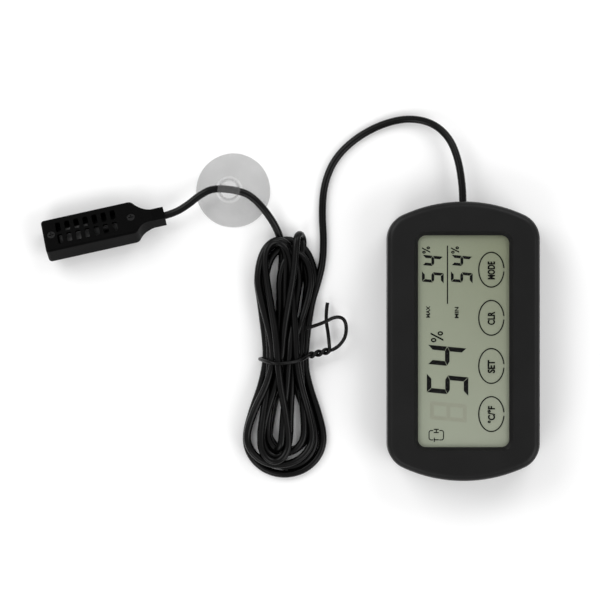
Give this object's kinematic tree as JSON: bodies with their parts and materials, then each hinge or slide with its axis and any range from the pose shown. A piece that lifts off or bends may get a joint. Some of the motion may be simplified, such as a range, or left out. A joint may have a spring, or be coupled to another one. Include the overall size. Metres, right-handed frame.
{
  "type": "maximum minimum thermometer",
  "caption": "Digital maximum minimum thermometer: touch-screen display unit with a fold-out stand, and a slotted probe on a tied cord with a clear suction cup.",
  "frame": {"origin": "centre of the display unit's flat back face, which lies on the plane z = 0", "axes": "+Z out of the screen, +Y to the end where the cord leaves, +X to the side away from the probe"},
  "size_m": [0.1868, 0.1372, 0.019],
  "materials": {
    "case_black": "fine matte moulded black plastic",
    "clear_panel": "clear glossy panel",
    "clear_film": "clear electrode film",
    "lcd_glass": "screen glass",
    "polariser": "greenish grey polariser film",
    "reflector_film": "pale greenish grey reflector",
    "frame_white": "white moulded plastic",
    "zebra_rubber": "striped silicone rubber",
    "board_green": "green solder mask",
    "epoxy_black": "glossy black epoxy",
    "can_metal": "polished metal can",
    "chip_black": "ceramic chips with tinned ends",
    "contact_steel": "nickel-plated spring steel",
    "cell_jacket": "printed cell jacket with bare steel ends",
    "screw_steel": "zinc-plated steel",
    "wire_pvc": "thin insulated wires",
    "cord_black": "satin black cord jacket",
    "tie_black": "satin black plastic over wire",
    "cup_clear": "soft clear vinyl",
    "nylon": "natural nylon",
    "sensor_grey": "grey sensor element"
  },
  "bodies": {
    "thermometer": {"front_cover": "case_black", "rear_cover": "case_black", "touch_panel": "clear_panel", "touch_film": "clear_film", "lcd_front_polariser": "polariser", "lcd_front_glass": "lcd_glass", "lcd_rear_glass": "lcd_glass", "lcd_reflector": "reflector_film", "lcd_frame": "frame_white", "zebra_strip": "zebra_rubber", "main_pcb": "board_green", "controller_blob": "epoxy_black", "watch_crystal": "can_metal", "chip_parts": "chip_black", "positive_contact": "contact_steel", "negative_contact": "contact_steel", "bridge_contact": "contact_steel", "battery_1": "cell_jacket", "battery_2": "cell_jacket", "battery_leads": "wire_pvc", "probe_leads": "wire_pvc", "cable_stop": "nylon", "case_screws": "screw_steel", "board_screws": "screw_steel", "cable_display_end": "cord_black", "cable_hank": "cord_black", "cable_probe_end": "cord_black", "twist_tie": "tie_black", "probe_upper_shell": "case_black", "probe_lower_shell": "case_black", "probe_pcb": "board_green", "humidity_sensor": "sensor_grey", "thermistor": "epoxy_black", "probe_wires": "wire_pvc", "probe_screws": "screw_steel"},
    "battery_door": {"battery_door": "case_black"},
    "stand": {"stand": "case_black"},
    "suction_cup": {"suction_cup": "cup_clear"}
  },
  "joints": [
    {"name": "stand_fold", "type": "hinge", "parent": "thermometer", "child": "stand", "pos_m": [0.005, 0, 0.0019], "axis": [0, 1, 0], "range_deg": [0, 65]},
    {"name": "battery_door_tilt", "type": "hinge", "parent": "thermometer", "child": "battery_door", "pos_m": [-0.0147, 0.0262, 0.0001], "axis": [1, 0, 0], "range_deg": [0, 30]},
    {"name": "cup_turn", "type": "hinge", "parent": "thermometer", "child": "suction_cup", "pos_m": [-0.0877, 0.0569, 0.0074], "axis": [0.992, -0.1263, 0], "range_deg": [0, 180]}
  ]
}
